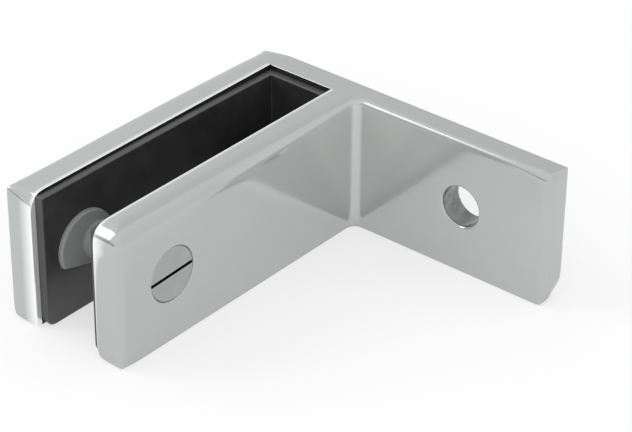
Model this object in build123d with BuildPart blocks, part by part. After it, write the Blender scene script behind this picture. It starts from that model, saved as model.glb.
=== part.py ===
"""Glass stiffener bracket: a cast channel for a glass edge, with a flange for the wall screw.

The origin is the centre of the wall-screw hole on the back face of the bracket.
X runs along the wall from the far leg to the flange tip, Y into the wall and Z up.
All sizes are in millimetres.
"""

import os

from build123d import *

os.makedirs("parts", exist_ok=True)

# Casting, overall
height = 25.0
overall_width = 64.9
leg_length = 63.0
leg_thickness = 5.5
plate_thickness = 4.7
channel_width = 13.6

# Casting, corners and edges
leg_bottom_cut = 0.9
leg_top_radius = 2.5
flange_bottom_cut = 3.0
flange_top_radius = 1.6
heel_cut = 3.0
corner_bulge = 0.22
root_fillet_radius = 1.6
outer_edge_radius = 1.2
rest_edge_radius = 0.2
channel_edge_radius = 0.2

# Wall screw hole in the flange
wall_hole_diameter = 7.4
wall_hole_from_tip = 17.8
wall_hole_rim = 0.3

# Clamp screw: head, shank and slot
screw_from_leg_end = 12.2
head_diameter = 9.8
head_height = 1.9
head_edge_break = 0.15
slot_width = 0.6
slot_depth = 0.9
slot_turn = 2.5
shank_diameter = 5.0
shank_tip_chamfer = 0.5
thread_depth = 4.0

# Rubber liner in the channel
liner_thickness = 1.6
liner_setback = 1.2
liner_top_recess = 0.5
liner_bottom_recess = 0.1
liner_near_side_drop = 1.1
liner_corner_radius = 1.5
liner_edge_radius = 0.3

# Bush on the clamp screw: sleeve and off-centre flange
bush_flange_diameter = 12.0
bush_flange_thickness = 0.9
bush_flange_flat = 3.8
bush_flange_turn = -15.0
bush_eccentricity = 2.2
bush_sleeve_diameter = 6.6
bush_edge_break = 0.2

# Fits, as clearance on the diameter or at each end
head_clearance = 0.2
head_recess = 0.1
thread_clearance = 0.1
shank_clearance = 0.5
bush_bore_clearance = 0.3
bush_end_clearance = 0.05

# Places that follow from the sizes above
tip_x = wall_hole_from_tip
far_outer_x = tip_x - overall_width
far_inner_x = far_outer_x + leg_thickness
near_inner_x = far_inner_x + channel_width
near_outer_x = near_inner_x + leg_thickness
channel_centre_x = (far_inner_x + near_inner_x) / 2
top_z = height / 2
bottom_z = -height / 2
leg_end_y = -leg_length
screw_y = leg_end_y + screw_from_leg_end
bush_y = screw_y - bush_eccentricity
liner_end_y = leg_end_y + liner_setback
liner_base_y = -plate_thickness - liner_thickness
liner_top_z = top_z - liner_top_recess
liner_bottom_z = bottom_z + liner_bottom_recess
glass_gap = channel_width - 2 * liner_thickness

# Planes: across the legs, seen from the near side, and square to the wall
across_legs = Plane.YZ
square_to_wall = Plane.XZ


def round_corners(outline, radii):
    """Round the corners of a flat outline, each by its own radius."""
    for place, radius in radii.items():
        fillet(outline.vertices().sort_by_distance(place)[0], radius)


# Casting: flat plate along the wall with two legs square to it, all one piece
with BuildPart() as bracket_body:
    with BuildSketch(Plane.XY.offset(bottom_z)) as plan:
        with BuildLine():
            Polyline(
                (far_outer_x, 0),
                (tip_x, 0),
                (tip_x, -plate_thickness),
                (near_outer_x, -plate_thickness),
                (near_outer_x, leg_end_y),
                (near_inner_x, leg_end_y),
                (near_inner_x, -plate_thickness),
                (far_inner_x, -plate_thickness),
                (far_inner_x, leg_end_y),
                (far_outer_x, leg_end_y),
                close=True,
            )
        make_face()
        round_corners(plan, {(near_outer_x, -plate_thickness): root_fillet_radius})
    extrude(amount=height)

    # Top corners of the free ends, seen from the side for the legs and from the front for the flange
    fillet(bracket_body.edges().filter_by(Axis.X).group_by(Axis.Y)[0].group_by(Axis.Z)[-1], leg_top_radius)
    fillet(bracket_body.edges().filter_by(Axis.Y).group_by(Axis.X)[-1].sort_by(Axis.Z)[-1], flange_top_radius)

    # Soft rounding of the outside, along the top and down the free ends
    top_edges = bracket_body.faces().sort_by(Axis.Z)[-1].edges().filter_by(Axis.Y)
    long_edges = top_edges.filter_by(lambda edge: edge.length > leg_length / 2).sort_by(Axis.X)
    fillet([long_edges[0], long_edges[-1]], outer_edge_radius)

    # Plan outline, with the heel rounded off
    with BuildSketch(Plane.XY.offset(bottom_z)):
        with BuildLine():
            Polyline(
                (far_outer_x + heel_cut, 0),
                (tip_x, 0),
                (tip_x, leg_end_y),
                (far_outer_x, leg_end_y),
                (far_outer_x, -heel_cut),
            )
            SagittaArc((far_outer_x, -heel_cut), (far_outer_x + heel_cut, 0), corner_bulge * heel_cut)
        make_face()
    extrude(amount=height, mode=Mode.INTERSECT)

    # Side outline of the legs, with their bottom corners rounded off
    with BuildSketch(across_legs.offset(far_outer_x)):
        with BuildLine():
            Polyline(
                (leg_end_y + leg_bottom_cut, bottom_z),
                (0, bottom_z),
                (0, top_z),
                (leg_end_y, top_z),
                (leg_end_y, bottom_z + leg_bottom_cut),
            )
            SagittaArc(
                (leg_end_y, bottom_z + leg_bottom_cut),
                (leg_end_y + leg_bottom_cut, bottom_z),
                -corner_bulge * leg_bottom_cut,
            )
        make_face()
    extrude(amount=overall_width, mode=Mode.INTERSECT)

    # Front outline of the plate, with the bottom corner of the flange rounded off
    with BuildSketch(square_to_wall):
        with BuildLine():
            Polyline(
                (tip_x - flange_bottom_cut, bottom_z),
                (far_outer_x, bottom_z),
                (far_outer_x, top_z),
                (tip_x, top_z),
                (tip_x, bottom_z + flange_bottom_cut),
            )
            SagittaArc(
                (tip_x, bottom_z + flange_bottom_cut),
                (tip_x - flange_bottom_cut, bottom_z),
                corner_bulge * flange_bottom_cut,
            )
        make_face()
    extrude(amount=leg_length, mode=Mode.INTERSECT)

    # Small rounding of the bottom edges outside, and of the mouth of the channel
    bottom_edges = bracket_body.faces().sort_by(Axis.Z)[0].edges().filter_by(Axis.Y)
    outer_edges = bottom_edges.filter_by(
        lambda edge: min(abs(edge.center().X - far_outer_x), abs(edge.center().X - near_outer_x)) < 0.01
    )
    fillet(outer_edges, rest_edge_radius)
    mouth_edges = bracket_body.faces().sort_by(Axis.Z)[-1].edges().filter_by(
        lambda edge: far_inner_x - 0.01 < edge.center().X < near_inner_x + 0.01 and edge.center().Y < -1
    )
    fillet(mouth_edges, channel_edge_radius)

    # Counterbored hole for the clamp screw, through the near leg
    with BuildSketch(across_legs.offset(near_outer_x)):
        with Locations((screw_y, 0)):
            Circle((head_diameter + head_clearance) / 2)
    extrude(amount=-(head_height + head_recess), mode=Mode.SUBTRACT)
    with BuildSketch(across_legs.offset(near_outer_x)):
        with Locations((screw_y, 0)):
            Circle((shank_diameter + shank_clearance) / 2)
    extrude(amount=-leg_thickness, mode=Mode.SUBTRACT)

    # Blind threaded hole for the screw, in the far leg
    with BuildSketch(across_legs.offset(far_inner_x)):
        with Locations((screw_y, 0)):
            Circle((shank_diameter + thread_clearance) / 2)
    extrude(amount=-thread_depth, mode=Mode.SUBTRACT)

    # Plain hole for the wall screw
    with BuildSketch(square_to_wall):
        Circle(wall_hole_diameter / 2)
    extrude(amount=plate_thickness, mode=Mode.SUBTRACT)
    wall_hole_rims = bracket_body.edges().filter_by(GeomType.CIRCLE).filter_by(
        lambda edge: abs(edge.radius - wall_hole_diameter / 2) < 0.01
    )
    chamfer(wall_hole_rims.sort_by(Axis.Y)[0], wall_hole_rim)
bracket_body.part.label = "bracket_body"
export_step(bracket_body.part, "parts/bracket_body.step")

# Liner: one soft U that covers the three walls of the channel
with BuildPart() as channel_liner:
    with BuildSketch(Plane.XY.offset(liner_bottom_z)):
        with BuildLine():
            Polyline(
                (far_inner_x, -plate_thickness),
                (near_inner_x, -plate_thickness),
                (near_inner_x, liner_end_y),
                (near_inner_x - liner_thickness, liner_end_y),
                (near_inner_x - liner_thickness, liner_base_y),
                (far_inner_x + liner_thickness, liner_base_y),
                (far_inner_x + liner_thickness, liner_end_y),
                (far_inner_x, liner_end_y),
                close=True,
            )
        make_face()
    extrude(amount=liner_top_z - liner_bottom_z)
    low_end_edges = channel_liner.edges().filter_by(Axis.X).group_by(Axis.Y)[0].group_by(Axis.Z)[0]
    fillet(low_end_edges, liner_corner_radius)
    fillet(channel_liner.edges().filter_by(Axis.Z).group_by(Axis.Y)[0], liner_edge_radius)

    # Lower top of the side against the near leg
    with BuildSketch(Plane.XY.offset(liner_top_z)):
        with Locations((near_inner_x - liner_thickness / 2, (liner_end_y + liner_base_y) / 2)):
            Rectangle(liner_thickness, liner_base_y - liner_end_y)
    extrude(amount=-liner_near_side_drop, mode=Mode.SUBTRACT)

    # Holes for the screw, through both sides
    with BuildSketch(across_legs.offset(far_inner_x)):
        with Locations((screw_y, 0)):
            Circle((shank_diameter + shank_clearance) / 2)
    extrude(amount=channel_width, mode=Mode.SUBTRACT)
channel_liner.part.label = "channel_liner"
export_step(channel_liner.part, "parts/channel_liner.step")

# Clamp screw: flush slotted head in the near leg, shank threaded into the far leg
with BuildPart() as clamp_screw:
    with BuildSketch(across_legs.offset(near_outer_x - head_recess)):
        with Locations((screw_y, 0)):
            Circle(head_diameter / 2)
    extrude(amount=-head_height)
    chamfer(clamp_screw.edges().sort_by(Axis.X)[-1], head_edge_break)
    shank_end_x = far_inner_x - thread_depth + thread_clearance
    with BuildSketch(across_legs.offset(shank_end_x)):
        with Locations((screw_y, 0)):
            Circle(shank_diameter / 2)
    extrude(amount=near_outer_x - head_recess - head_height - shank_end_x)
    chamfer(clamp_screw.edges().sort_by(Axis.X)[0], shank_tip_chamfer)
    with BuildSketch(across_legs.offset(near_outer_x - head_recess)):
        with Locations((screw_y, 0)):
            Rectangle(head_diameter + 1, slot_width, rotation=slot_turn)
    extrude(amount=-slot_depth, mode=Mode.SUBTRACT)
clamp_screw.part.label = "clamp_screw"
export_step(clamp_screw.part, "parts/clamp_screw.step")

# Bush: a sleeve on the screw, with an off-centre flange against the far side of the liner, flat below
with BuildPart() as screw_bush:
    bush_length = glass_gap - 2 * bush_end_clearance
    flange_plane = across_legs.offset(channel_centre_x - bush_length / 2)
    with BuildSketch(flange_plane):
        with Locations((bush_y, 0)):
            Circle(bush_flange_diameter / 2)
        with Locations(Location((bush_y, 0, 0), (0, 0, bush_flange_turn))):
            with Locations((0, -bush_flange_flat)):
                flat_side = (Align.CENTER, Align.MAX)
                Rectangle(bush_flange_diameter, bush_flange_diameter, align=flat_side, mode=Mode.SUBTRACT)
    extrude(amount=bush_flange_thickness)
    chamfer(screw_bush.edges().group_by(Axis.X)[-1], bush_edge_break)
    with BuildSketch(flange_plane):
        with Locations((screw_y, 0)):
            Circle(bush_sleeve_diameter / 2)
    extrude(amount=bush_length)
    chamfer(screw_bush.edges().sort_by(Axis.X)[-1], bush_edge_break)
    with BuildSketch(flange_plane):
        with Locations((screw_y, 0)):
            Circle((shank_diameter + bush_bore_clearance) / 2)
    extrude(amount=bush_length, mode=Mode.SUBTRACT)
screw_bush.part.label = "screw_bush"
export_step(screw_bush.part, "parts/screw_bush.step")
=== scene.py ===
"""Looks of the glass stiffener bracket: a plated casting, its rubber liner, the clamp screw and the bush.

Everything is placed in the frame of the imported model: metres, the origin at the wall-screw hole
on the back face, X along the wall towards the flange tip, Y into the wall and Z up. Sizes inside
the classes are in millimetres and become metres when a mesh is made.
"""

import logging
import math
from dataclasses import dataclass
from enum import Enum
from typing import Callable, Iterable, Sequence

import bmesh
import bpy
import numpy as np
from mathutils import Matrix, Quaternion, Vector


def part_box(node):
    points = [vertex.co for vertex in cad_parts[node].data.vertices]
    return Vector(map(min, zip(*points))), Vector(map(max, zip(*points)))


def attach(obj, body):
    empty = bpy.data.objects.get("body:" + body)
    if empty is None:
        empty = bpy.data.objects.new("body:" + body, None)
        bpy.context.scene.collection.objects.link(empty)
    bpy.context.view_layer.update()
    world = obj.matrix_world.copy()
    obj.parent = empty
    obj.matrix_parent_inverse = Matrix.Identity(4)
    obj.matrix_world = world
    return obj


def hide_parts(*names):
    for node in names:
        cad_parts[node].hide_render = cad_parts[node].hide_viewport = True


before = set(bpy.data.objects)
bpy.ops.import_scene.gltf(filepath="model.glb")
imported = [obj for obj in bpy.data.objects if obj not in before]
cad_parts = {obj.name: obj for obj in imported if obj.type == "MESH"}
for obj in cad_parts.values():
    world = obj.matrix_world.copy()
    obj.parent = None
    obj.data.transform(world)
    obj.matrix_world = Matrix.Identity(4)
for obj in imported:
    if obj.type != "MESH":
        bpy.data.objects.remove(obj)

LOG = logging.getLogger("bracket")
MM = 0.001
BODY = "root"
IMAGE_WIDTH_PX = 632
SENSOR_WIDTH_MM = 36.0
NEAREST_SEEN = 0.01
SMOOTH_LEVELS = 2

# Distances in millimetres: how close counts as touching, as one grid line and as nothing, and a far one
TOUCH = 0.01
SAME_LINE = 0.05
NOTHING = 0.0001
FAR = 99.0

# Noise octaves
PLAIN = 1.0
MIXED = 2.0
FINE = 3.0
FINEST = 4.0

# Usual scales of the effects, as noise per metre, and the usual amount of dust
WAVES = 60.0
SPECKS = 300.0
SCRATCHES = 400.0
BLOTCHES = 900.0
GRAINS = 4000.0
LIGHT_DUST = 0.2

# The pointedness of worn edges, the noise range of clouds and the strength of the blotches in a bore's
# painted shade
WORN_EDGES = (0.52, 0.62)
CLOUD_RANGE = (0.35, 0.65)
BORE_BLOTCHES = (0.4, 0.8)
LEAST_ROUGHNESS = 0.02


class Node(Enum):
    """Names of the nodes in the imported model."""

    CASTING = "bracket_body"
    LINER = "channel_liner"
    SCREW = "clamp_screw"
    BUSH = "screw_bush"


class Slot(Enum):
    """Names of the record's material slots."""

    PLATING = "plated_metal"
    RUBBER = "liner_rubber"
    SCREW_METAL = "screw_metal"
    NYLON = "bush_nylon"


class Along(Enum):
    """The axis that a hole follows."""

    X = 0
    Y = 1


class Zone(Enum):
    """Zones painted with shade or light, by the name of the mask that finds them."""

    BORE_SHADE = "bore_shade_mask"
    MOUTH_HIGHLIGHT = "mouth_highlight_mask"
    CHANNEL_SHADE = "channel_shade_mask"
    SLOT_SHADE = "slot_shade_mask"
    NOOK_LIGHT = "nook_light_mask"


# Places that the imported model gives

@dataclass(frozen=True)
class Places:
    """Main places of the bracket in millimetres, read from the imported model.

    Attributes:
        far_outer: outside of the far leg, along X.
        far_inner: channel side of the far leg, along X.
        near_inner: channel side of the near leg, along X.
        near_outer: outside of the near leg, along X.
        tip: end of the flange, along X.
        plate_front: front of the base plate, along Y.
        leg_end: free end of the legs, along Y.
        liner_end: free end of the liner, along Y.
        liner_bottom: lower edge of the liner, along Z.
        liner_top: upper edge of the liner, along Z.
        bottom: underside, along Z.
        top: upper side, along Z.
        screw_y: axis of the clamp screw, along Y.
        bush_y: axis of the bush, along Y.
        bush_low: far end of the bush, along X.
        bush_high: near end of the bush, along X.
        bush_radius: outer radius of the bush's flange.
        head_radius: radius of the screw's head.
        head_face: outer face of the screw's head, along X.
    """

    far_outer: float
    far_inner: float
    near_inner: float
    near_outer: float
    tip: float
    plate_front: float
    leg_end: float
    liner_end: float
    liner_bottom: float
    liner_top: float
    bottom: float
    top: float
    screw_y: float
    bush_y: float
    bush_low: float
    bush_high: float
    bush_radius: float
    head_radius: float
    head_face: float

    @staticmethod
    def of_box(node: Node) -> tuple[list[float], list[float]]:
        """Lowest and highest corner of a node's box in millimetres."""
        low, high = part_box(node.value)
        return [value / MM for value in low], [value / MM for value in high]

    @classmethod
    def from_frame(cls) -> "Places":
        """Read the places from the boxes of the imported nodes.

        Returns:
            The places in millimetres.
        """
        body_low, body_high = cls.of_box(Node.CASTING)
        liner_low, liner_high = cls.of_box(Node.LINER)
        screw_low, screw_high = cls.of_box(Node.SCREW)
        bush_low, bush_high = cls.of_box(Node.BUSH)
        leg_thickness = liner_low[0] - body_low[0]
        return cls(
            far_outer=body_low[0],
            far_inner=liner_low[0],
            near_inner=liner_high[0],
            near_outer=liner_high[0] + leg_thickness,
            tip=body_high[0],
            plate_front=liner_high[1],
            leg_end=body_low[1],
            liner_end=liner_low[1],
            liner_bottom=liner_low[2],
            liner_top=liner_high[2],
            bottom=body_low[2],
            top=body_high[2],
            screw_y=(screw_low[1] + screw_high[1]) / 2,
            bush_y=(bush_low[1] + bush_high[1]) / 2,
            bush_low=bush_low[0],
            bush_high=bush_high[0],
            bush_radius=(bush_high[1] - bush_low[1]) / 2,
            head_radius=(screw_high[2] - screw_low[2]) / 2,
            head_face=screw_high[0],
        )


# Mesh helpers

# The eight ways from the middle of a square to its corners and the middles of its sides
RING_TURNS = ((1, 0), (1, 1), (0, 1), (-1, 1), (-1, 0), (-1, -1), (0, -1), (1, -1))


def spline_shrink(points: int) -> float:
    """Share of its radius that a ring of cage points keeps after subdivision."""
    return (2 + math.cos(2 * math.pi / points)) / 3


def smooth_step(low: float, high: float, value: np.ndarray) -> np.ndarray:
    """Go smoothly from 0 at low to 1 at high."""
    share = np.clip((value - low) / (high - low), 0.0, 1.0)
    return share * share * (3 - 2 * share)


def mix(start: float, end: float, share: np.ndarray) -> np.ndarray:
    """Blend from start to end."""
    return start + (end - start) * share


def round_pair(
    first: np.ndarray,
    second: np.ndarray,
    radius: np.ndarray,
    active: np.ndarray,
) -> tuple[np.ndarray, np.ndarray]:
    """Turn the square corner between two walls into a round one.

    Args:
        first: distance of each point from the first wall.
        second: distance from the second wall.
        radius: radius of the corner at each point.
        active: where the corner applies.

    Returns:
        The two distances of the moved points.
    """
    radius = np.maximum(radius, NOTHING)
    into_first = radius - first
    into_second = radius - second
    inside = active & (into_first > 0) & (into_second > 0)
    longest = np.maximum(into_first, into_second)
    length = np.maximum(np.hypot(into_first, into_second), NOTHING)
    share = np.where(inside, longest / length, 1.0)
    new_first = np.where(inside, radius - into_first * share, first)
    new_second = np.where(inside, radius - into_second * share, second)
    return new_first, new_second


def merged_lines(*groups: Iterable[float]) -> np.ndarray:
    """Sort grid lines and drop those that nearly coincide.

    Args:
        groups: the lines, in any order.

    Returns:
        The sorted lines.
    """
    values = sorted(value for group in groups for value in group)
    kept = [values[0]]
    for value in values[1:]:
        if value - kept[-1] > SAME_LINE:
            kept.append(value)
    return np.array(kept)


@dataclass(frozen=True)
class RoundHole:
    """A round hole through or into a wall of a cell cage.

    Attributes:
        along: the axis that the hole follows.
        centre: the other two coordinates of its axis, in the order of the cage's axes.
        opening: coordinate of the face where it opens.
        exit: coordinate of the face where it comes out, or None where it is blind.
        square: half width of the square of cells that the hole replaces.
        rings: radius and place along the axis of each ring, from the opening on.
    """

    along: Along
    centre: tuple[float, float]
    opening: float
    exit: float | None
    square: float
    rings: tuple[tuple[float, float], ...]

    def others(self) -> tuple[int, int]:
        """The two axes across the hole."""
        return ((self.along.value + 1) % 3, (self.along.value + 2) % 3)

    def covers(self, axis: int, plane: float, middle: np.ndarray) -> bool:
        """Tell whether a quad of the cage lies in the hole's square.

        Args:
            axis: axis that the quad is square to.
            plane: the quad's coordinate along that axis.
            middle: the quad's middle point.

        Returns:
            True where the quad is left out for the hole.
        """
        if axis != self.along.value:
            return False
        planes = [self.opening] if self.exit is None else [self.opening, self.exit]
        if min(abs(plane - one) for one in planes) > TOUCH:
            return False
        first, second = self.others()
        reach = max(abs(middle[first] - self.centre[0]), abs(middle[second] - self.centre[1]))
        return bool(reach < self.square)


class CellCage:
    """A closed cage of quads round the solid cells of a grid, with round holes let in.

    Args:
        lines: grid lines along X, Y and Z in millimetres.
        solid: tells whether the cell with a given middle point is solid.
        holes: round holes to let in.
    """

    def __init__(
        self,
        lines: Sequence[np.ndarray],
        solid: Callable[[float, float, float], bool],
        holes: Sequence[RoundHole] = (),
    ) -> None:
        """Keep the grid and start with no points."""
        self.lines = lines
        self.solid = solid
        self.holes = holes
        self.points: list[list[float]] = []
        self.faces: list[list[int]] = []
        self.index: dict[tuple[int, int, int], int] = {}

    def grid_point(self, key: tuple[int, int, int]) -> int:
        """Number of the grid point with the given line numbers.

        Args:
            key: line numbers along X, Y and Z.

        Returns:
            The point's number, new or known.
        """
        if key not in self.index:
            self.index[key] = len(self.points)
            self.points.append([float(self.lines[axis][key[axis]]) for axis in range(3)])
        return self.index[key]

    def free_point(self, place: Sequence[float]) -> int:
        """Add a point off the grid and give its number."""
        self.points.append([float(value) for value in place])
        return len(self.points) - 1

    def add_walls(self) -> None:
        """Add a quad wherever a solid cell meets an empty one."""
        middles = [(line[1:] + line[:-1]) / 2 for line in self.lines]
        counts = [len(middle) for middle in middles]
        filled = np.zeros([count + 2 for count in counts], dtype=bool)
        for i, j, k in np.ndindex(*counts):
            filled[i + 1, j + 1, k + 1] = self.solid(middles[0][i], middles[1][j], middles[2][k])
        for i, j, k in np.argwhere(filled):
            cell = (int(i) - 1, int(j) - 1, int(k) - 1)
            for axis in range(3):
                for side in (0, 1):
                    beyond = [int(i), int(j), int(k)]
                    beyond[axis] += 1 if side else -1
                    if not filled[tuple(beyond)]:
                        self.add_wall(cell, axis, side, middles)

    def add_wall(self, cell: tuple[int, int, int], axis: int, side: int, middles: list[np.ndarray]) -> None:
        """Add one outer quad of a cell, unless a hole takes its place.

        Args:
            cell: the cell's numbers along the axes.
            axis: axis that the quad is square to.
            side: 0 for the low side of the cell, 1 for the high side.
            middles: middles of the cells along each axis.
        """
        plane = float(self.lines[axis][cell[axis] + side])
        middle = np.array([middles[one][cell[one]] for one in range(3)])
        if any(hole.covers(axis, plane, middle) for hole in self.holes):
            return
        first, second = (axis + 1) % 3, (axis + 2) % 3
        corners = []
        for step_first, step_second in ((0, 0), (1, 0), (1, 1), (0, 1)):
            key = list(cell)
            key[axis] += side
            key[first] += step_first
            key[second] += step_second
            corners.append(self.grid_point(tuple(key)))
        self.faces.append(corners if side else corners[::-1])

    def square_ring(self, hole: RoundHole, plane: float) -> list[int]:
        """Grid points round a hole's square on one face, eight of them.

        Args:
            hole: the hole.
            plane: the face's coordinate along the hole.

        Returns:
            The numbers of the points, in turn order.
        """
        first, second = hole.others()
        ring = []
        for turn_first, turn_second in RING_TURNS:
            wanted = {
                hole.along.value: plane,
                first: hole.centre[0] + turn_first * hole.square,
                second: hole.centre[1] + turn_second * hole.square,
            }
            key = tuple(int(np.argmin(np.abs(self.lines[axis] - wanted[axis]))) for axis in range(3))
            ring.append(self.grid_point(key))
        return ring

    def round_ring(self, hole: RoundHole, radius: float, plane: float) -> list[int]:
        """Add a ring of points that subdivides to a circle of the given radius.

        Args:
            hole: the hole.
            radius: radius of the circle.
            plane: its coordinate along the hole.

        Returns:
            The numbers of the points, in turn order.
        """
        first, second = hole.others()
        reach = radius / spline_shrink(len(RING_TURNS))
        ring = []
        for turn_first, turn_second in RING_TURNS:
            turn = math.atan2(turn_second, turn_first)
            place = [0.0, 0.0, 0.0]
            place[hole.along.value] = plane
            place[first] = hole.centre[0] + reach * math.cos(turn)
            place[second] = hole.centre[1] + reach * math.sin(turn)
            ring.append(self.free_point(place))
        return ring

    def add_hole(self, hole: RoundHole) -> None:
        """Join the rings of a hole to the faces that it opens in.

        Args:
            hole: the hole.
        """
        loops = [self.square_ring(hole, hole.opening)]
        loops += [self.round_ring(hole, radius, plane) for radius, plane in hole.rings]
        if hole.exit is not None:
            loops.append(self.square_ring(hole, hole.exit))
        count = len(RING_TURNS)
        for before, after in zip(loops, loops[1:]):
            for turn in range(count):
                onward = (turn + 1) % count
                self.faces.append([before[turn], before[onward], after[onward], after[turn]])
        if hole.exit is None:
            last = loops[-1]
            place = np.mean([self.points[point] for point in last], axis=0)
            middle = self.free_point(place)
            for turn in range(1, count, 2):
                onward = (turn + 1) % count
                self.faces.append([middle, last[turn - 1], last[turn], last[onward]])

    def build(self) -> tuple[np.ndarray, list[list[int]]]:
        """Make the whole cage.

        Returns:
            The points in millimetres and the faces as lists of point numbers.
        """
        self.add_walls()
        for hole in self.holes:
            self.add_hole(hole)
        return np.array(self.points), self.faces


def smooth_object(name: str, points: np.ndarray, faces: list[list[int]]) -> bpy.types.Object:
    """Make a smooth object from a cage.

    Args:
        name: the object's name.
        points: cage points in millimetres.
        faces: faces as lists of point numbers.

    Returns:
        The new object, linked to the scene.
    """
    mesh = bpy.data.meshes.new(name)
    mesh.from_pydata((points * MM).tolist(), [], faces)
    work = bmesh.new()
    work.from_mesh(mesh)
    bmesh.ops.recalc_face_normals(work, faces=work.faces)
    work.to_mesh(mesh)
    work.free()
    mesh.polygons.foreach_set("use_smooth", [True] * len(mesh.polygons))
    mesh.update()
    made = bpy.data.objects.new(name, mesh)
    bpy.context.scene.collection.objects.link(made)
    smoother = made.modifiers.new("smooth surface", "SUBSURF")
    smoother.levels = SMOOTH_LEVELS
    smoother.render_levels = SMOOTH_LEVELS
    return made


# Shader node groups that the finishes share

class GroupMaker:
    """Small helper that builds a shader node group or fills a material's tree.

    Args:
        tree: the node tree to fill.
    """

    def __init__(self, tree: bpy.types.NodeTree) -> None:
        """Keep the tree."""
        self.tree = tree

    def node(self, kind: str, **settings: object) -> bpy.types.Node:
        """Add a node and set its properties.

        Args:
            kind: the node's type.
            settings: properties of the node and their values.

        Returns:
            The new node.
        """
        made = self.tree.nodes.new(kind)
        for key, value in settings.items():
            setattr(made, key, value)
        return made

    def join(self, source: bpy.types.NodeSocket, target: bpy.types.NodeSocket) -> None:
        """Link an output to an input."""
        self.tree.links.new(source, target)

    def math(self, operation: str, first: object, second: object = None) -> bpy.types.NodeSocket:
        """Add a maths node; each operand is a socket or a number.

        Args:
            operation: name of the maths operation.
            first: first operand.
            second: second operand, where the operation takes one.

        Returns:
            The node's output socket.
        """
        made = self.node("ShaderNodeMath", operation=operation)
        for place, operand in enumerate((first, second)):
            if operand is None:
                continue
            if isinstance(operand, bpy.types.NodeSocket):
                self.join(operand, made.inputs[place])
            else:
                made.inputs[place].default_value = operand
        return made.outputs[0]

    def place(self) -> bpy.types.NodeSocket:
        """The place of the shaded point on the object."""
        return self.node("ShaderNodeTexCoord").outputs["Object"]

    def parts(self, vector: bpy.types.NodeSocket) -> bpy.types.Node:
        """Split a vector; the new node's outputs are X, Y and Z."""
        made = self.node("ShaderNodeSeparateXYZ")
        self.join(vector, made.inputs["Vector"])
        return made

    def noise(self, scale: object, detail: float) -> bpy.types.NodeSocket:
        """Add a noise texture over the object.

        Args:
            scale: the noise's scale, a socket or a number.
            detail: how many octaves it has.

        Returns:
            The noise value, from 0 to 1.
        """
        made = self.node("ShaderNodeTexNoise")
        made.inputs["Detail"].default_value = detail
        self.join(self.place(), made.inputs["Vector"])
        if isinstance(scale, bpy.types.NodeSocket):
            self.join(scale, made.inputs["Scale"])
        else:
            made.inputs["Scale"].default_value = scale
        return made.outputs["Fac"]


def new_group(
    name: str,
    inputs: Sequence[tuple[str, float]],
    outputs: Sequence[str],
) -> tuple[bpy.types.NodeTree, GroupMaker, bpy.types.Node, bpy.types.Node]:
    """Start a shader node group with named float sockets.

    Args:
        name: the group's name.
        inputs: name and default of each input.
        outputs: name of each output.

    Returns:
        The group, a helper for it, and its input and output nodes.
    """
    tree = bpy.data.node_groups.new(name, "ShaderNodeTree")
    for socket_name, value in inputs:
        socket = tree.interface.new_socket(socket_name, in_out="INPUT", socket_type="NodeSocketFloat")
        socket.default_value = value
    for socket_name in outputs:
        tree.interface.new_socket(socket_name, in_out="OUTPUT", socket_type="NodeSocketFloat")
    maker = GroupMaker(tree)
    return tree, maker, maker.node("NodeGroupInput"), maker.node("NodeGroupOutput")


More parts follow.
